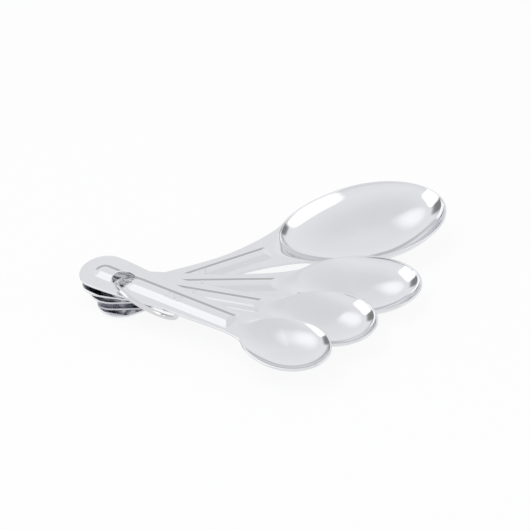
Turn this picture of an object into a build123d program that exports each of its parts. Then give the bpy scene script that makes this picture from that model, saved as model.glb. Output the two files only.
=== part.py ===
"""A fanned set of four measuring spoons held together by a wire ring.

Each spoon is pressed from one sheet: a flat handle with a rounded paddle end, a hollow raised rib
along it, and an egg-shaped bowl. The spoons are stacked by their hanging holes on a ring that stands
on the table, and each smaller bowl lies over the rim of the next larger one.
Lengths are in millimetres, angles in degrees, +Z is up and the table is at z = 0.
"""
from math import cos, pi, radians, sin, sqrt
import os

from build123d import *

# Sheet and handle, the same on every spoon, measured from the centre of the hanging hole
sheet = 0.8
end_reach = 18.2
paddle_radius = 8.85
waist_reach = 31.2
waist_half_width = 6.0
bowl_reach = 54.6
shoulder_angle = 143.0
hole_radius = 4.05

# Raised rib along the handle, hollow underneath
rib_height = 0.85
rib_half_width = 3.65
rib_back_reach = 12.8
rib_front_reach = 49.4
rib_front_radius = 1.45
rib_draft = 30.0

# Bowl form
wide_share = 0.56
wall_power = 1.25
floor_power = 3.0
depth_shares = (0.0, 0.1, 0.25, 0.5, 0.7, 0.85, 0.95, 0.985)
rim_overrun = 0.5

# Bowl length, bowl width and measured volume of each spoon
bowl_length = {"tablespoon": 66.7, "teaspoon": 45.8, "half_teaspoon": 36.0, "quarter_teaspoon": 32.9}
bowl_width = {"tablespoon": 42.6, "teaspoon": 29.7, "half_teaspoon": 26.2, "quarter_teaspoon": 23.3}
teaspoon_volume_length = 17.02
teaspoons_share = {"tablespoon": 3.0, "teaspoon": 1.0, "half_teaspoon": 0.5, "quarter_teaspoon": 0.25}

# Wire ring, which leans on the table and climbs through the holes
ring_radius = 12.0
wire_radius = 0.88
ring_tilt_angle = 34.0
ring_uphill_angle = 208.7

# Stack of the handles on the ring, lowest first
first_level = 3.55
stack_gap = 0.54
heading_angle = {"tablespoon": 26.1, "teaspoon": -1.5, "half_teaspoon": -19.2, "quarter_teaspoon": -36.7}
dip_angle = {"tablespoon": -5.0, "teaspoon": -1.8, "half_teaspoon": -0.7, "quarter_teaspoon": -0.1}
lean_angle = {"tablespoon": 7.0, "teaspoon": 10.0, "half_teaspoon": 10.5, "quarter_teaspoon": 10.5}

# How far each hole centre lies from the wire, along X and Y, as a share of the hole radius
play_x_share = {"tablespoon": 0.0, "teaspoon": 0.28, "half_teaspoon": 0.28, "quarter_teaspoon": 0.21}
play_y_share = {"tablespoon": -0.20, "teaspoon": 0.06, "half_teaspoon": -0.04, "quarter_teaspoon": 0.58}

spoons = ("tablespoon", "teaspoon", "half_teaspoon", "quarter_teaspoon")
layer_pitch = sheet + rib_height + stack_gap
ring_level = ring_radius * sin(radians(ring_tilt_angle)) + wire_radius


def volume(name):
    """Measured volume of a bowl: a teaspoon is a cube of the given side."""
    return teaspoons_share[name] * teaspoon_volume_length**3


def bowl_fill():
    """Share that a bowl with these rounded walls holds of a straight-walled cup."""
    steps = 400
    total = 0.0
    for k in range(steps):
        share = (k + 0.5) / steps
        total = total + (1 - share**wall_power) ** (2 / floor_power)
    return total / steps


def bowl_depth(name):
    """Inside depth that gives the bowl its measured volume up to the rim."""
    plan_area = pi / 4 * bowl_length[name] * bowl_width[name]
    return volume(name) / (bowl_fill() * plan_area)


def egg(name, scale, grow, level):
    """Egg-shaped section of the bowl: scaled about the widest place and grown by a wall."""
    length = bowl_length[name]
    wide_x = bowl_reach + wide_share * length
    neck = wide_share * length * scale + grow
    tip = (1 - wide_share) * length * scale + grow
    side = bowl_width[name] / 2 * scale + grow
    tip_curve = EllipticalCenterArc((wide_x, 0), tip, side, start_angle=-90, arc_size=180)
    neck_curve = EllipticalCenterArc((wide_x, 0), neck, side, start_angle=90, arc_size=180)
    return Pos(0, 0, level) * make_face([tip_curve, neck_curve])


def bowl_body(name, grow):
    """Solid with the bowl's rounded form, from the rim plane down."""
    depth = bowl_depth(name) + grow
    sections = []
    for share in depth_shares:
        scale = (1 - share**wall_power) ** (1 / floor_power)
        sections.append(egg(name, scale, grow, sheet - share * depth))
    return loft(sections)


def plate(name):
    """Flat handle with its paddle end, waist and shoulders."""
    length = bowl_length[name]
    neck = wide_share * length
    turn = radians(shoulder_angle)
    shoulder = Vector(bowl_reach + neck + neck * cos(turn), bowl_width[name] / 2 * sin(turn))
    slope = Vector(neck * sin(turn), -bowl_width[name] / 2 * cos(turn))
    paddle_x = paddle_radius - end_reach
    top = Spline(
        [(paddle_x, paddle_radius), (waist_reach, waist_half_width), shoulder],
        tangents=[(1, 0), slope.normalized()],
    )
    back = ThreePointArc((paddle_x, paddle_radius), (-end_reach, 0), (paddle_x, -paddle_radius))
    low = mirror(top, Plane.XZ)
    front = Line(top @ 1, low @ 1)
    outline = make_face([top, back, low, front])
    return extrude(outline, sheet)


def rib_outline(inset):
    """Plan of the rib: a round back end and a squarer front end."""
    half = rib_half_width - inset
    back = rib_half_width - rib_back_reach
    front = rib_front_reach - inset
    corner = rib_front_radius - inset / 2
    bar_length = front - back
    bar = Pos(back + bar_length / 2, 0) * Rectangle(bar_length, 2 * half)
    bar = fillet(bar.vertices().group_by(Axis.X)[-1], corner)
    return bar + Pos(back, 0) * Circle(half)


def spoon(name):
    """One pressed spoon in its own frame, with the hole centre at the origin."""
    rib = Pos(0, 0, sheet) * extrude(rib_outline(0), rib_height, taper=rib_draft)
    hollow = extrude(rib_outline(sheet / 2), rib_height, taper=rib_draft)
    hole_height = sheet + rib_height + 2 * rim_overrun
    hole = Pos(0, 0, hole_height / 2 - rim_overrun) * Cylinder(hole_radius, hole_height)
    body = plate(name) + rib + bowl_body(name, sheet)
    body = body - hollow - bowl_body(name, 0) - hole
    return body


def wire_point(level):
    """Centre of the ring's wire, on its far side, at a height above the table."""
    rise = (level - ring_level) / (ring_radius * sin(radians(ring_tilt_angle)))
    across = -sqrt(1 - rise**2)
    run = ring_radius * rise * cos(radians(ring_tilt_angle))
    side = ring_radius * across
    turn = radians(ring_uphill_angle)
    return Vector(run * cos(turn) - side * sin(turn), run * sin(turn) + side * cos(turn), level)


def stack_level(name):
    """Height of the underside of a spoon's handle at its hole."""
    return first_level + spoons.index(name) * layer_pitch


def hole_centre(name):
    """Centre of a spoon's hole, on the underside of its handle."""
    wire = wire_point(stack_level(name) + (sheet + rib_height) / 2)
    return Vector(
        wire.X + play_x_share[name] * hole_radius,
        wire.Y + play_y_share[name] * hole_radius,
        stack_level(name),
    )


def spoon_place(name):
    """Where a spoon lies in the fanned set."""
    turned = Rot(0, 0, heading_angle[name]) * Rot(0, dip_angle[name], 0) * Rot(lean_angle[name], 0, 0)
    return Pos(hole_centre(name)) * turned


def ring():
    """Closed wire ring that the spoons hang on."""
    lean_over = Rot(0, 0, ring_uphill_angle) * Rot(0, -ring_tilt_angle, 0)
    return Pos(0, 0, ring_level) * lean_over * Torus(ring_radius, wire_radius)


def build():
    """All the pieces in place, with the origin under the middle of the set."""
    pieces = {name: spoon_place(name) * spoon(name) for name in spoons}
    pieces["ring"] = ring()
    boxes = [piece.bounding_box() for piece in pieces.values()]
    middle_x = (min(box.min.X for box in boxes) + max(box.max.X for box in boxes)) / 2
    middle_y = (min(box.min.Y for box in boxes) + max(box.max.Y for box in boxes)) / 2
    floor = min(box.min.Z for box in boxes)
    shift = Pos(-middle_x, -middle_y, -floor)
    return {name: shift * piece for name, piece in pieces.items()}, shift


if __name__ == "__main__":
    os.makedirs("parts", exist_ok=True)
    for node, piece in build()[0].items():
        export_step(piece, f"parts/{node}.step")
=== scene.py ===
"""A fanned set of polished steel measuring spoons on a wire ring, standing on a white table.

The spoons' smooth bodies are rebuilt from the same formulas as the CAD part, with rounded edges and
crowned ribs, and stand for the CAD solids. The spoons are drawn in millimetres in their own frames,
with the hanging hole at the origin, and scaled to metres when they are placed.
"""
from math import cos, pi, radians, sin, sqrt

import bmesh
import bpy
import numpy as np
from mathutils import Matrix, Vector
from mathutils.geometry import delaunay_2d_cdt


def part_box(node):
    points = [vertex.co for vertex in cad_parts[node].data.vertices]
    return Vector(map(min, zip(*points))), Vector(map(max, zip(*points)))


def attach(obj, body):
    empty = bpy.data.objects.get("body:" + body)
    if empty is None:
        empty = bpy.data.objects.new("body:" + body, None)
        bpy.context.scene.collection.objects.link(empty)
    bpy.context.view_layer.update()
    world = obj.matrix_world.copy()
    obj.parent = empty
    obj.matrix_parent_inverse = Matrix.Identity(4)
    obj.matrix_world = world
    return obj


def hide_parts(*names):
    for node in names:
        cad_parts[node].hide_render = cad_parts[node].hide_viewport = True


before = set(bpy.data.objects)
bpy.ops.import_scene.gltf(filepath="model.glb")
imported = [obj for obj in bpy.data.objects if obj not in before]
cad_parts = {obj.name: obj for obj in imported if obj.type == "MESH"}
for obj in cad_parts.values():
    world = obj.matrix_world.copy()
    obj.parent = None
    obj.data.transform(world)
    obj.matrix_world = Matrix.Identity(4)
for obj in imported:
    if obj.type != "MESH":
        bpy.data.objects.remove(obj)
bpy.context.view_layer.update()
scene = bpy.context.scene
mm = 0.001

# Sizes shared with the CAD part, in millimetres and degrees
sheet = 0.8
end_reach = 18.2
paddle_radius = 8.85
waist_reach = 31.2
waist_half_width = 6.0
bowl_reach = 54.6
shoulder_angle = 143.0
hole_radius = 4.05
rib_height = 0.85
rib_half_width = 3.65
rib_back_reach = 12.8
rib_front_reach = 49.4
rib_front_radius = 1.45
wide_share = 0.56
wall_power = 1.25
floor_power = 3.0
bowl_length = {"tablespoon": 66.7, "teaspoon": 45.8, "half_teaspoon": 36.0, "quarter_teaspoon": 32.9}
bowl_width = {"tablespoon": 42.6, "teaspoon": 29.7, "half_teaspoon": 26.2, "quarter_teaspoon": 23.3}
teaspoon_volume_length = 17.02
teaspoons_share = {"tablespoon": 3.0, "teaspoon": 1.0, "half_teaspoon": 0.5, "quarter_teaspoon": 0.25}
ring_radius = 12.0
wire_radius = 0.88
ring_tilt = 34.0
ring_uphill = 208.7
first_level = 3.55
stack_gap = 0.54
heading = {"tablespoon": 26.1, "teaspoon": -1.5, "half_teaspoon": -19.2, "quarter_teaspoon": -36.7}
dip = {"tablespoon": -5.0, "teaspoon": -1.8, "half_teaspoon": -0.7, "quarter_teaspoon": -0.1}
lean = {"tablespoon": 7.0, "teaspoon": 10.0, "half_teaspoon": 10.5, "quarter_teaspoon": 10.5}
play_x_share = {"tablespoon": 0.0, "teaspoon": 0.28, "half_teaspoon": 0.28, "quarter_teaspoon": 0.21}
play_y_share = {"tablespoon": -0.20, "teaspoon": 0.06, "half_teaspoon": -0.04, "quarter_teaspoon": 0.58}
spoons = ("tablespoon", "teaspoon", "half_teaspoon", "quarter_teaspoon")
layer_pitch = sheet + rib_height + stack_gap
ring_level = ring_radius * sin(radians(ring_tilt)) + wire_radius

# Pressed sheet: rounding of its edges, and how far the bowl's inner face, its outer face and the rim are
# grown in plan from the bowl's measured egg shape
edge_round = 0.16
inner_grow = 0.1
outer_grow = 0.24
rim_grow = 0.68

# Handle edge: how strongly its curve leaves the shoulder and passes the waist
shoulder_pull = 0.6
waist_pull = 0.9

# Rib: run of its sloping side, swell of its top, blends at the foot and at the top, and the height of the
# hollow underneath as a share of the rib's own
rib_side_run = 2.2
rib_swell = 0.15
rib_foot_blend = 0.35
rib_top_blend = 0.45
hollow_share = 0.9

# Lines of the mesh that follow the rib, as distances inside its foot, and their least corner radius
rib_levels = (-0.35, -0.2, -0.05, 0.1, 0.25, 0.35, 0.7, 1.2, 1.75, 1.9, 2.05, 2.2, 2.35, 2.5, 2.65, 3.1)
least_corner = 0.02

# Bowl: its lip as a share of the depth, and the gentler wall between two angles from the tip
side_lip_share = 0.02
neck_lip_shares = {"tablespoon": 0.22, "teaspoon": 0.235, "half_teaspoon": 0.28, "quarter_teaspoon": 0.33}
soft_neck_shares = {"tablespoon": 0.0, "teaspoon": 1.0, "half_teaspoon": 1.0, "quarter_teaspoon": 0.8}
soft_neck_from = 75.0
soft_neck_full = 130.0
soft_wall_power = 1.0
soft_floor_power = 2.0

# Plain numbers on the handles: the measures in millilitres, a little nearer the hole than the bowl
marks = {"tablespoon": "15", "teaspoon": "5", "half_teaspoon": "2.5", "quarter_teaspoon": "1.25"}
mark_reach = (rib_front_reach - hole_radius) / 2
mark_height = 4.2
mark_proud = 0.09
mark_bevel = 0.06

# Small dent where the ends of the wire meet: its place in degrees, its depth as a share of the wire's
# radius, and its spread in radians
joint_angle = 200.0
joint_dent = 0.05
joint_spread = 0.02

# Fineness of the meshes: numbers of points and rows, and a step in degrees round the hole
volume_steps = 400
rim_points = 161
neck_points = 61
front_edge_points = 36
back_edge_points = 40
paddle_points = 28
rib_end_points = 33
rib_corner_points = 9
rib_run_points = 12
hole_step = 4
lip_steps = (0.0, 0.08, 0.16, 0.26, 0.38, 0.5, 0.62, 0.75, 0.88, 1.0)
wall_rows = 48
ring_turns = 240
ring_sides = 28

# How near points have to be: to count as one in a plan, to lie on the hole, to be welded, and to share a
# vertex, which is given in decimal places
plan_slack = 0.00001
hole_slack = 0.004
weld_gap = 0.002
vertex_places = 4

# Steel: colours, clouding, rubbed lines and unevenness, and the shift of these from spoon to spoon
spoon_colour = (0.74, 0.745, 0.765)
wire_colour = (0.7, 0.7, 0.72)
dull_share = 0.965
cloud_scale = 0.12
cloud_low = 0.3
cloud_high = 0.7
line_stretch = (0.35, 9.0, 9.0)
line_strength = 0.06
line_depth = 0.00002
sway_scale = 0.07
seed_step = 11.0
seed_skew = 0.37

# Sockets of the Mix node when it mixes colours
mix_share = 0
mix_first = 6
mix_second = 7
mix_result = 2

# Floor and background: the floor's half size in metres, and how much of its own colour it shows by itself
floor_reach = 3.0
floor_colour = (0.97, 0.97, 0.975)
floor_glow = 0.93
backdrop_colour = (0.99, 0.99, 0.99)

# Studio sky: tone at the sine of a height, from below the horizon to straight overhead
studio_tones = (
    (-0.2, 0.8),
    (0.0, 0.8),
    (0.05, 0.92),
    (0.16, 0.99),
    (0.5, 1.03),
    (0.76, 0.98),
    (0.88, 0.93),
    (1.0, 0.9),
)
blue_share = 1.01

# Studio panels: heading and height of the middle, half width and half height, all in degrees, then the soft
# edge as a share of the half size, the squareness of the corners and the tone
studio_panels = {
    "right_window": (-12.0, 15.0, 25.0, 18.0, 0.12, 4.0, 1.7),
    "left_window": (182.0, 18.0, 20.0, 21.0, 0.1, 4.0, 1.7),
    "high_glow": (142.0, 58.0, 12.0, 10.0, 1.0, 2.0, 1.28),
    "far_grey_band": (90.0, 4.0, 60.0, 13.0, 0.25, 4.0, 0.58),
    "left_dark_card": (150.0, 8.0, 10.0, 19.0, 0.35, 4.0, 0.28),
    "right_dark_card": (26.0, 10.0, 8.0, 9.0, 0.4, 4.0, 0.28),
}

# Reflections to follow between the stacked handles
light_bounces = 16

# Camera at the photograph's angle: aim point and distance in the set's own millimetres
camera_rise = 30.0
camera_away = 728.0
camera_aim = Vector((41.75, 37.66, 0.0))
camera_lens = 133.1
camera_sensor = 36.0


def bowl_depth(name):
    """Inside depth that gives the bowl its measured volume up to the rim."""
    shares = (np.arange(volume_steps) + 0.5) / volume_steps
    fill = np.mean((1 - shares**wall_power) ** (2 / floor_power))
    plan_area = pi / 4 * bowl_length[name] * bowl_width[name]
    return teaspoons_share[name] * teaspoon_volume_length**3 / (fill * plan_area)


def egg_points(name, angles, scale, grow):
    """Points of the egg-shaped plan at the given angles, with 0 at the tip."""
    length = bowl_length[name]
    reach = np.where(np.cos(angles) > 0, 1 - wide_share, wide_share) * length * scale + grow
    side = bowl_width[name] / 2 * scale + grow
    x = bowl_reach + wide_share * length + reach * np.cos(angles)
    return np.stack([x, side * np.sin(angles)], axis=1)


def off_tip(angles):
    """How far angles turn away from the bowl's tip, to either side."""
    return np.abs((angles + pi) % (2 * pi) - pi)


def smooth(share):
    """A share from 0 to 1, with a soft start and a soft end."""
    return share * share * (3 - 2 * share)


def hermite(start, end, start_slope, end_slope, count):
    """Points of a cubic from start to end, both left out."""
    t = np.linspace(0, 1, count + 2)[1:-1, None]
    return (
        (2 * t**3 - 3 * t**2 + 1) * start
        + (t**3 - 2 * t**2 + t) * start_slope
        + (3 * t**2 - 2 * t**3) * end
        + (t**3 - t**2) * end_slope
    )


def handle_edge(name):
    """Plan of the handle's upper edge, from the shoulder on the bowl to the paddle end's last point."""
    turn = radians(shoulder_angle)
    neck = wide_share * bowl_length[name] + rim_grow
    side = bowl_width[name] / 2 + rim_grow
    shoulder = egg_points(name, np.array([turn]), 1, rim_grow)[0]
    slope = -np.array([neck * sin(turn), -side * cos(turn)])
    slope = slope / np.linalg.norm(slope)
    waist = np.array([waist_reach, waist_half_width])
    paddle_x = paddle_radius - end_reach
    paddle = np.array([paddle_x, paddle_radius])
    backward = np.array([-1.0, 0.0])
    front_run = np.linalg.norm(shoulder - waist)
    front_start = slope * front_run * shoulder_pull
    front_end = backward * front_run * waist_pull
    front = hermite(shoulder, waist, front_start, front_end, front_edge_points)
    back_slope = backward * np.linalg.norm(waist - paddle) * waist_pull
    back = hermite(waist, paddle, back_slope, back_slope, back_edge_points)
    turns = np.radians(np.linspace(90, 180, paddle_points))
    arc = np.stack([paddle_x + paddle_radius * np.cos(turns), paddle_radius * np.sin(turns)], axis=1)
    return np.concatenate([front, [waist], back, arc])


def outline_points(name):
    """Closed plan of a spoon."""
    turn = radians(shoulder_angle)
    egg = egg_points(name, np.linspace(-turn, turn, rim_points), 1, rim_grow)
    upper = handle_edge(name)
    lower = upper[::-1][1:] * np.array([1, -1])
    return np.concatenate([egg, upper, lower])


def inset(points, distance):
    """A closed plan moved inward along its own normals."""
    before = np.roll(points, 1, axis=0)
    after = np.roll(points, -1, axis=0)
    along = after - before
    along = along / np.linalg.norm(along, axis=1, keepdims=True)
    inward = np.stack([-along[:, 1], along[:, 0]], axis=1)
    return points + inward * distance


def rib_depth(x, y):
    """How far inside the rib's foot line a point lies."""
    back = rib_half_width - rib_back_reach
    across = np.abs(y) - (rib_half_width - rib_front_radius)
    ahead = x - (rib_front_reach - rib_front_radius)
    outside = np.hypot(np.maximum(ahead, 0), np.maximum(across, 0))
    box = outside + np.minimum(np.maximum(ahead, across), 0) - rib_front_radius
    disc = np.hypot(x - back, y) - rib_half_width
    return np.where(x < back, -disc, -box)


def soft_ramp(run, blend):
    """Zero, then rising one for one, with a rounded corner between."""
    return np.where(run < -blend, 0, np.where(run < blend, (run + blend) ** 2 / (4 * blend), run))


def crown(depth):
    """Height of the rib over its foot: a soft foot, an even slope and a nearly flat top."""
    up = soft_ramp(depth, rib_foot_blend) - soft_ramp(depth - rib_side_run, rib_top_blend)
    swell = np.clip(depth / rib_half_width, 0, 1)
    return (rib_height - rib_swell) * up / rib_side_run + rib_swell * swell * (2 - swell)


def top_height(x, y):
    """Height of the handle's upper face."""
    return sheet + crown(rib_depth(x, y))


def low_height(x, y):
    """Height of the handle's lower face, which is hollow under the rib."""
    return crown(rib_depth(x, y) - sheet / 2) * hollow_share


def rib_contour(depth):
    """Closed plan of the rib at a distance inside its foot line."""
    half = rib_half_width - depth
    back = rib_half_width - rib_back_reach
    front = rib_front_reach - depth
    corner = max(rib_front_radius - depth, least_corner)
    turns = np.radians(np.linspace(90, 270, rib_end_points))
    round_end = np.stack([back + half * np.cos(turns), half * np.sin(turns)], axis=1)
    bend = np.radians(np.linspace(-90, 0, rib_corner_points))
    low = np.stack([front - corner + corner * np.cos(bend), corner - half + corner * np.sin(bend)], axis=1)
    runs = np.linspace(back, front - corner, rib_run_points)[1:-1]
    low_run = np.stack([runs, np.full(len(runs), -half)], axis=1)
    high = low[::-1] * np.array([1, -1])
    high_run = low_run[::-1] * np.array([1, -1])
    return np.concatenate([round_end, low_run, low, high, high_run])


def triangulate(loops):
    """Delaunay triangles that keep every loop as a line."""
    points = []
    edges = []
    for loop in loops:
        start = len(points)
        points.extend(Vector(p) for p in loop)
        count = len(loop)
        edges.extend((start + k, start + (k + 1) % count) for k in range(count))
    found = delaunay_2d_cdt(points, edges, [], 0, plan_slack)
    return np.array([(p.x, p.y) for p in found[0]]), np.array([list(f) for f in found[2]])


def inside(points, loop):
    """Which points lie inside a closed plan."""
    x, y = points[:, 0], points[:, 1]
    hit = np.zeros(len(points), bool)
    for a, b in zip(loop, np.roll(loop, -1, axis=0)):
        crosses = (a[1] > y) != (b[1] > y)
        with np.errstate(divide="ignore", invalid="ignore"):
            edge_x = (b[0] - a[0]) * (y - a[1]) / (b[1] - a[1]) + a[0]
        hit ^= crosses & (x < edge_x)
    return hit


def raised(points, height):
    """Plan points at a height, which is a number or one number for each point."""
    level = np.broadcast_to(height, len(points))
    return np.column_stack([points, level])


def vertex_at(bm, made, point):
    """The mesh's one vertex at a place, made when it is first asked for."""
    key = tuple(round(float(c), vertex_places) for c in point)
    if key not in made:
        made[key] = bm.verts.new([float(c) for c in point])
    return made[key]


def add_faces(bm, made, points, triangles):
    """Adds triangles to the mesh, sharing vertices that lie at the same place."""
    verts = [vertex_at(bm, made, p) for p in points]
    for tri in triangles:
        corners = [verts[k] for k in tri]
        if len(set(corners)) == len(corners) and bm.faces.get(corners) is None:
            bm.faces.new(corners)


def add_strip(bm, made, rows):
    """Quads between closed rows of matching points."""
    for first, second in zip(rows, rows[1:]):
        count = len(first)
        for k in range(count):
            n = (k + 1) % count
            corners = [vertex_at(bm, made, p) for p in (first[k], first[n], second[n], second[k])]
            corners = list(dict.fromkeys(corners))
            if len(corners) > 2 and bm.faces.get(corners) is None:
                bm.faces.new(corners)


def finished_mesh(bm, name):
    """The mesh with its seams welded and its faces turned outward."""
    bmesh.ops.remove_doubles(bm, verts=bm.verts, dist=weld_gap)
    bmesh.ops.recalc_face_normals(bm, faces=bm.faces)
    mesh = bpy.data.meshes.new(name)
    bm.to_mesh(mesh)
    bm.free()
    return mesh


def lip_shares(name, angles):
    """Share of the bowl's depth, at each angle, where the rounded lip meets the wall."""
    turn = radians(shoulder_angle)
    past = np.clip((off_tip(angles) - turn) / (pi - turn), 0, 1)
    return side_lip_share + (neck_lip_shares[name] - side_lip_share) * smooth(past)


def bowl_rows(name, angles, grow, lip, rim_level):
    """Rows of one face of the bowl, from the flat rim over a rounded lip to just before the bottom.

    On the smaller spoons the wall runs out more gently towards the neck.
    """
    softening = (np.degrees(off_tip(angles)) - soft_neck_from) / (soft_neck_full - soft_neck_from)
    ease = soft_neck_shares[name] * smooth(np.clip(softening, 0, 1))
    wall = wall_power + (soft_wall_power - wall_power) * ease
    base = floor_power + (soft_floor_power - floor_power) * ease
    depth = bowl_depth(name)
    middle = np.array([bowl_reach + wide_share * bowl_length[name], 0.0])
    spokes = egg_points(name, angles, 1, grow) - middle
    reach = np.linalg.norm(spokes, axis=1)
    scale = (1 - lip**wall) ** (1 / base)
    slope = wall / base * lip ** (wall - 1) * (1 - lip**wall) ** (1 / base - 1)
    corner = scale + lip * slope
    start = corner + np.hypot((corner - scale) * reach, lip * depth) / reach
    rows = []
    for t in lip_steps:
        out = (1 - t) ** 2 * start + 2 * t * (1 - t) * corner + t * t * scale
        rows.append(np.column_stack([middle + spokes * out[:, None], rim_level - t * t * lip * depth]))
    lip_swing = np.arcsin(lip) / (pi / 2)
    for swing in np.linspace(0, 1, wall_rows)[1:-1]:
        share = np.sin(pi / 2 * (lip_swing + (1 - lip_swing) * swing))
        scale = (1 - share**wall) ** (1 / base)
        rows.append(np.column_stack([middle + spokes * scale[:, None], rim_level - share * depth]))
    return rows


def add_bowl(bm, made, name, rows, rim_level):
    """One face of the bowl, closed at its lowest point."""
    add_strip(bm, made, rows)
    last = rows[-1]
    low = (bowl_reach + wide_share * bowl_length[name], 0, rim_level - bowl_depth(name))
    lowest = vertex_at(bm, made, low)
    for k in range(len(last)):
        after = last[(k + 1) % len(last)]
        bm.faces.new([vertex_at(bm, made, last[k]), vertex_at(bm, made, after), lowest])


def add_flats(bm, made, outline, inner_rim, outer_rim):
    """Upper and lower faces around the bowl and the hole. Returns the lower face's points at the hole."""
    edge = inset(outline, edge_round)
    ribs = [rib_contour(depth) for depth in rib_levels]
    hole_reach = hole_radius + edge_round / 2
    hole_turns = np.radians(np.arange(0, 360, hole_step))
    hole = np.stack([np.cos(hole_turns), np.sin(hole_turns)], axis=1) * hole_reach
    for rim, height in ((inner_rim, top_height), (outer_rim, low_height)):
        points, triangles = triangulate([edge, rim, hole, *ribs])
        middle = points[triangles].mean(axis=1)
        keep = inside(middle, edge) & ~inside(middle, rim) & ~inside(middle, hole)
        add_faces(bm, made, raised(points, height(points[:, 0], points[:, 1])), triangles[keep])
    at_hole = points[np.abs(np.hypot(points[:, 0], points[:, 1]) - hole_reach) < hole_slack]
    return at_hole[np.argsort(np.arctan2(at_hole[:, 1], at_hole[:, 0]))]


def add_sheet_edge(bm, made, outline):
    """Rounded edge of the sheet, from the upper face to the lower one."""
    bend = edge_round * (1 - sqrt(0.5))
    edge = inset(outline, edge_round)
    bent = inset(outline, bend)
    rows = [
        raised(edge, sheet),
        raised(bent, sheet - bend),
        raised(outline, sheet - edge_round),
        raised(outline, edge_round),
        raised(bent, bend),
        raised(edge, 0.0),
    ]
    add_strip(bm, made, rows)


def add_hole_wall(bm, made, hole):
    """Wall of the hanging hole, with its two edges taken off."""
    wall = hole * hole_radius / np.hypot(hole[:, 0], hole[:, 1])[:, None]
    high = top_height(hole[:, 0], hole[:, 1])
    low = low_height(hole[:, 0], hole[:, 1])
    rows = [
        raised(hole, high),
        raised(wall, high - edge_round / 2),
        raised(wall, low + edge_round / 2),
        raised(hole, low),
    ]
    add_strip(bm, made, rows)


def spoon_mesh(name):
    """Closed mesh of one pressed spoon, in its own frame."""
    turn = radians(shoulder_angle)
    rim_angles = np.linspace(-turn, turn, rim_points)
    neck_angles = np.linspace(turn, 2 * pi - turn, neck_points)[1:-1]
    angles = np.concatenate([rim_angles, neck_angles])
    lip = lip_shares(name, angles)
    inner = bowl_rows(name, angles, inner_grow, lip, sheet)
    outer = bowl_rows(name, angles, outer_grow, lip, 0.0)
    outline = outline_points(name)
    bm = bmesh.new()
    made = {}
    hole = add_flats(bm, made, outline, inner[0][:, :2], outer[0][:, :2])
    add_sheet_edge(bm, made, outline)
    add_bowl(bm, made, name, inner, sheet)
    add_bowl(bm, made, name, outer, 0.0)
    add_hole_wall(bm, made, hole)
    return finished_mesh(bm, name + "_form")


def number_mesh(name):
    """The plain number on a handle, laid on the top of the rib."""
    letters = bpy.data.curves.new(name + "_number_form", "FONT")
    letters.body = marks[name]
    letters.size = mark_height
    letters.extrude = mark_proud
    letters.bevel_depth = mark_bevel
    letters.bevel_resolution = 1
    letters.align_x = "CENTER"
    letters.align_y = "CENTER"
    draft = bpy.data.objects.new(name + "_draft", letters)
    scene.collection.objects.link(draft)
    bpy.context.view_layer.update()
    mesh = bpy.data.meshes.new_from_object(draft.evaluated_get(bpy.context.evaluated_depsgraph_get()))
    bpy.data.objects.remove(draft)
    for vertex in mesh.vertices:
        x = vertex.co.x + mark_reach
        y = vertex.co.y
        lift = float(top_height(np.array(x), np.array(y)))
        vertex.co = (x, y, lift + vertex.co.z)
    return mesh


def ring_mesh():
    """The wire ring as a fine closed tube, with a small dent where the ends of the wire meet."""
    rows = []
    for k in range(ring_turns):
        turn = 2 * pi * k / ring_turns
        off_joint = (turn - radians(joint_angle) + pi) % (2 * pi) - pi
        radius = wire_radius * (1 - joint_dent * np.exp(-((off_joint / joint_spread) ** 2)))
        around = 2 * pi * np.arange(ring_sides) / ring_sides
        out = ring_radius + radius * np.cos(around)
        rows.append(np.stack([out * cos(turn), out * sin(turn), radius * np.sin(around)], axis=1))
    bm = bmesh.new()
    add_strip(bm, {}, rows + rows[:1])
    return finished_mesh(bm, "ring_form")


def wire_point(level):
    """Centre of the ring's wire, on its far side, at a height above the table."""
    rise = (level - ring_level) / (ring_radius * sin(radians(ring_tilt)))
    run = ring_radius * rise * cos(radians(ring_tilt))
    side = -ring_radius * sqrt(1 - rise**2)
    turn = radians(ring_uphill)
    return Vector((run * cos(turn) - side * sin(turn), run * sin(turn) + side * cos(turn), level))


def turned(angle, axis):
    """Turn about one axis by an angle in degrees."""
    return Matrix.Rotation(radians(angle), 4, axis)


def spoon_place(name, centre):
    """Where a spoon lies in the set, in metres."""
    level = first_level + spoons.index(name) * layer_pitch
    wire = wire_point(level + (sheet + rib_height) / 2)
    hole_x = wire.x + play_x_share[name] * hole_radius
    hole_y = wire.y + play_y_share[name] * hole_radius
    hole = Vector((hole_x, hole_y, level))
    turn = turned(heading[name], "Z") @ turned(dip[name], "Y") @ turned(lean[name], "X")
    return Matrix.Translation(centre + hole * mm) @ turn @ Matrix.Scale(mm, 4)


def link(name, mesh, material, smooth_faces=True, place=None):
    """An object with its place written into its mesh, so that it lies in the set's own frame."""
    if place is not None:
        mesh.transform(place)
    obj = bpy.data.objects.new(name, mesh)
    scene.collection.objects.link(obj)
    mesh.materials.append(material)
    if smooth_faces:
        mesh.polygons.foreach_set("use_smooth", [True] * len(mesh.polygons))
    return obj


def node(tree, kind, **values):
    """A shader node, with values for its inputs or its own settings."""
    made = tree.nodes.new(kind)
    for key, value in values.items():
        if key in made.inputs:
            made.inputs[key].default_value = value
        else:
            setattr(made, key, value)
    return made


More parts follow.
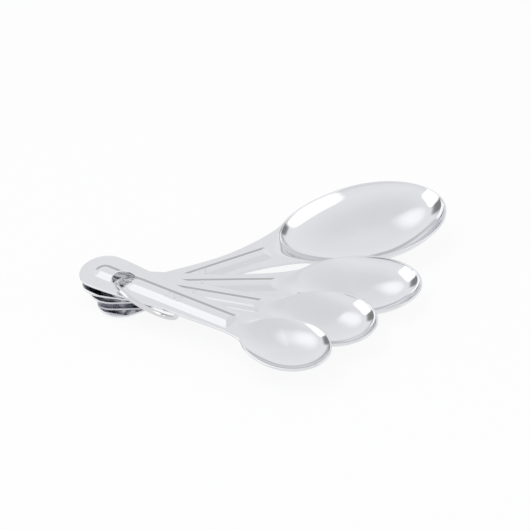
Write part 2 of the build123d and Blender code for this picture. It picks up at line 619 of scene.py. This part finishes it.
def steel(name, colour, base_rough, spread, wave, seed, along):
    """Polished steel: faint clouding of the polish, fine rubbed lines along a heading in degrees and a
    slightly uneven sheet. The wave is the unevenness in metres."""
    material = bpy.data.materials.new(name)
    material.use_nodes = True
    tree = material.node_tree
    tree.nodes.clear()
    out = node(tree, "ShaderNodeOutputMaterial")
    shader = node(tree, "ShaderNodeBsdfPrincipled", Metallic=1.0)
    place = node(tree, "ShaderNodeTexCoord")
    shift = node(tree, "ShaderNodeMapping")
    shift.inputs["Location"].default_value = (seed, seed * seed_skew, -seed)
    shift.inputs["Rotation"].default_value = (0, 0, -radians(along))
    shift.inputs["Scale"].default_value = (1 / mm, 1 / mm, 1 / mm)
    tree.links.new(place.outputs["Object"], shift.inputs["Vector"])
    cloud = node(tree, "ShaderNodeTexNoise", Scale=cloud_scale, Detail=4.0, Roughness=0.6)
    tree.links.new(shift.outputs["Vector"], cloud.inputs["Vector"])
    rough = node(tree, "ShaderNodeMapRange")
    rough.inputs["From Min"].default_value = cloud_low
    rough.inputs["From Max"].default_value = cloud_high
    rough.inputs["To Min"].default_value = base_rough
    rough.inputs["To Max"].default_value = base_rough + spread
    tree.links.new(cloud.outputs["Fac"], rough.inputs["Value"])
    tree.links.new(rough.outputs["Result"], shader.inputs["Roughness"])
    tint = node(tree, "ShaderNodeMix", data_type="RGBA")
    tint.inputs[mix_first].default_value = (*[c * dull_share for c in colour], 1)
    tint.inputs[mix_second].default_value = (*colour, 1)
    tree.links.new(cloud.outputs["Fac"], tint.inputs[mix_share])
    tree.links.new(tint.outputs[mix_result], shader.inputs["Base Color"])
    stretch = node(tree, "ShaderNodeMapping")
    stretch.inputs["Scale"].default_value = line_stretch
    tree.links.new(shift.outputs["Vector"], stretch.inputs["Vector"])
    lines = node(tree, "ShaderNodeTexNoise", Scale=1.0, Detail=3.0, Roughness=0.7)
    tree.links.new(stretch.outputs["Vector"], lines.inputs["Vector"])
    sway = node(tree, "ShaderNodeTexNoise", Scale=sway_scale, Detail=1.0, Roughness=0.4)
    tree.links.new(shift.outputs["Vector"], sway.inputs["Vector"])
    fine = node(tree, "ShaderNodeBump", Strength=line_strength, Distance=line_depth)
    tree.links.new(lines.outputs["Fac"], fine.inputs["Height"])
    broad = node(tree, "ShaderNodeBump", Strength=1.0, Distance=wave)
    tree.links.new(sway.outputs["Fac"], broad.inputs["Height"])
    tree.links.new(fine.outputs["Normal"], broad.inputs["Normal"])
    tree.links.new(broad.outputs["Normal"], shader.inputs["Normal"])
    tree.links.new(shader.outputs["BSDF"], out.inputs["Surface"])
    return material


def plain(name, colour, glow):
    """Matt material, which also shows its own colour to the camera and in reflections."""
    material = bpy.data.materials.new(name)
    material.use_nodes = True
    tree = material.node_tree
    tree.nodes.clear()
    out = node(tree, "ShaderNodeOutputMaterial")
    matt = node(tree, "ShaderNodeBsdfDiffuse")
    matt.inputs["Color"].default_value = (*colour, 1)
    shine = node(tree, "ShaderNodeEmission")
    shine.inputs["Color"].default_value = (*colour, 1)
    path = node(tree, "ShaderNodeLightPath")
    seen = node(tree, "ShaderNodeMath", operation="MAXIMUM")
    tree.links.new(path.outputs["Is Camera Ray"], seen.inputs[0])
    tree.links.new(path.outputs["Is Glossy Ray"], seen.inputs[1])
    amount = node(tree, "ShaderNodeMath", operation="MULTIPLY")
    amount.inputs[1].default_value = glow
    tree.links.new(seen.outputs[0], amount.inputs[0])
    mix = node(tree, "ShaderNodeMixShader")
    tree.links.new(amount.outputs[0], mix.inputs["Fac"])
    tree.links.new(matt.outputs["BSDF"], mix.inputs[1])
    tree.links.new(shine.outputs["Emission"], mix.inputs[2])
    tree.links.new(mix.outputs["Shader"], out.inputs["Surface"])
    return material


def sky_tone(tree, toward):
    """Socket with the plain sky's colour in a direction."""
    split = node(tree, "ShaderNodeSeparateXYZ")
    tree.links.new(toward, split.inputs[0])
    height = node(tree, "ShaderNodeMapRange")
    height.inputs["From Min"].default_value = -1.0
    height.inputs["From Max"].default_value = 1.0
    tree.links.new(split.outputs["Z"], height.inputs["Value"])
    ramp = node(tree, "ShaderNodeValToRGB")
    tree.links.new(height.outputs["Result"], ramp.inputs["Fac"])
    stops = ramp.color_ramp.elements
    stops[0].position = (studio_tones[0][0] + 1) / 2
    stops[1].position = (studio_tones[-1][0] + 1) / 2
    for lift, tone in studio_tones[1:-1]:
        stops.new((lift + 1) / 2)
    for stop, (lift, tone) in zip(stops, studio_tones):
        stop.color = (tone, tone, tone * blue_share, 1)
    return ramp.outputs["Color"]


def panel_share(tree, toward, panel_heading, panel_height, half_width, half_height, soft, squareness):
    """Socket that is one towards a panel with rounded corners and nought away from it."""
    turn, lift = radians(panel_heading), radians(panel_height)
    ahead = Vector((cos(lift) * cos(turn), cos(lift) * sin(turn), sin(lift)))
    aside = Vector((-sin(turn), cos(turn), 0))
    above = ahead.cross(aside)
    parts = []
    for axis, half in ((aside, half_width), (above, half_height)):
        dot = node(tree, "ShaderNodeVectorMath", operation="DOT_PRODUCT")
        tree.links.new(toward, dot.inputs[0])
        dot.inputs[1].default_value = axis / sin(radians(half))
        bent = node(tree, "ShaderNodeMath", operation="POWER")
        tree.links.new(dot.outputs["Value"], bent.inputs[0])
        bent.inputs[1].default_value = squareness
        parts.append(bent)
    total = node(tree, "ShaderNodeMath", operation="ADD")
    tree.links.new(parts[0].outputs[0], total.inputs[0])
    tree.links.new(parts[1].outputs[0], total.inputs[1])
    edge = node(tree, "ShaderNodeMapRange", interpolation_type="SMOOTHSTEP")
    edge.inputs["From Min"].default_value = (1 + soft) ** squareness
    edge.inputs["From Max"].default_value = (1 - soft) ** squareness
    tree.links.new(total.outputs[0], edge.inputs["Value"])
    front = node(tree, "ShaderNodeVectorMath", operation="DOT_PRODUCT")
    tree.links.new(toward, front.inputs[0])
    front.inputs[1].default_value = ahead
    side = node(tree, "ShaderNodeMath", operation="GREATER_THAN")
    side.inputs[1].default_value = 0.0
    tree.links.new(front.outputs["Value"], side.inputs[0])
    both = node(tree, "ShaderNodeMath", operation="MULTIPLY")
    tree.links.new(edge.outputs["Result"], both.inputs[0])
    tree.links.new(side.outputs[0], both.inputs[1])
    return both.outputs[0]


def studio_world():
    """World that lights the set and shows in the steel, and is plain white to the camera."""
    world = bpy.data.worlds.new("studio")
    world.use_nodes = True
    tree = world.node_tree
    tree.nodes.clear()
    out = node(tree, "ShaderNodeOutputWorld")
    sky = node(tree, "ShaderNodeBackground", Strength=1.0)
    backdrop = node(tree, "ShaderNodeBackground", Strength=1.0)
    backdrop.inputs["Color"].default_value = (*backdrop_colour, 1)
    toward = node(tree, "ShaderNodeTexCoord").outputs["Generated"]
    tone_now = sky_tone(tree, toward)
    for *panel, tone in studio_panels.values():
        join = node(tree, "ShaderNodeMix", data_type="RGBA")
        tree.links.new(panel_share(tree, toward, *panel), join.inputs[mix_share])
        tree.links.new(tone_now, join.inputs[mix_first])
        join.inputs[mix_second].default_value = (tone, tone, tone, 1)
        tone_now = join.outputs[mix_result]
    tree.links.new(tone_now, sky.inputs["Color"])
    path = node(tree, "ShaderNodeLightPath")
    seen = node(tree, "ShaderNodeMath", operation="MAXIMUM")
    tree.links.new(path.outputs["Is Camera Ray"], seen.inputs[0])
    tree.links.new(path.outputs["Is Transmission Ray"], seen.inputs[1])
    mix = node(tree, "ShaderNodeMixShader")
    tree.links.new(seen.outputs[0], mix.inputs["Fac"])
    tree.links.new(sky.outputs["Background"], mix.inputs[1])
    tree.links.new(backdrop.outputs["Background"], mix.inputs[2])
    tree.links.new(mix.outputs["Shader"], out.inputs["Surface"])
    return world


def softbox(name, place, width, height, power):
    """Area lamp that points at the middle of the set and stays out of the reflections."""
    lamp = bpy.data.lights.new(name, "AREA")
    lamp.shape = "RECTANGLE"
    lamp.size = width
    lamp.size_y = height
    lamp.energy = power
    obj = bpy.data.objects.new(name, lamp)
    scene.collection.objects.link(obj)
    look = (-Vector(place)).to_track_quat("-Z", "Y")
    obj.matrix_world = Matrix.Translation(place) @ look.to_matrix().to_4x4()
    obj.visible_glossy = False


ring_low, ring_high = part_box("ring")
ring_centre = (ring_low + ring_high) / 2
set_centre = ring_centre - Vector((0, 0, ring_level * mm))

for k, name in enumerate(spoons):
    metal = steel(
        "steel_" + name,
        spoon_colour,
        base_rough=0.04,
        spread=0.07,
        wave=0.00006,
        seed=seed_step * k,
        along=heading[name],
    )
    place = spoon_place(name, set_centre)
    body = link(name + "_body", spoon_mesh(name), metal, place=place)
    even = body.modifiers.new("even_shading", "WEIGHTED_NORMAL")
    even.weight = 100
    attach(body, name)
    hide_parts(name)
    number = link(name + "_number", number_mesh(name), metal, place=place)
    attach(number, name)

wire_steel = steel(
    "steel_wire",
    wire_colour,
    base_rough=0.06,
    spread=0.06,
    wave=0.00001,
    seed=3.0,
    along=ring_uphill,
)
ring_turn = turned(ring_uphill, "Z") @ turned(-ring_tilt, "Y") @ Matrix.Scale(mm, 4)
wire = link("ring_wire", ring_mesh(), wire_steel, place=Matrix.Translation(ring_centre) @ ring_turn)
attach(wire, "ring")
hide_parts("ring")

floor_corners = [(x * floor_reach, y * floor_reach, 0) for x, y in ((-1, -1), (1, -1), (1, 1), (-1, 1))]
floor_mesh = bpy.data.meshes.new("floor")
floor_mesh.from_pydata(floor_corners, [], [(0, 1, 2, 3)])
floor = link("floor", floor_mesh, plain("floor_paint", floor_colour, floor_glow), smooth_faces=False)

scene.world = studio_world()
softbox("key_box", (-0.35, -0.15, 0.75), width=0.45, height=0.45, power=1.5)
softbox("fill_box", (0.55, -0.35, 0.55), width=0.25, height=0.35, power=0.6)

camera_data = bpy.data.cameras.new("camera")
camera_data.sensor_width = camera_sensor
camera_data.lens = camera_lens
camera_data.clip_start = 0.01
camera_data.clip_end = 20.0
camera = bpy.data.objects.new("camera", camera_data)
scene.collection.objects.link(camera)
rise = radians(camera_rise)
back_off = Vector((0, -cos(rise), sin(rise))) * camera_away
camera.location = set_centre + (camera_aim + back_off) * mm
camera.rotation_euler = (pi / 2 - rise, 0, 0)
scene.camera = camera
scene.view_settings.view_transform = "Standard"
scene.cycles.max_bounces = light_bounces
scene.cycles.glossy_bounces = light_bounces

bpy.context.view_layer.update()
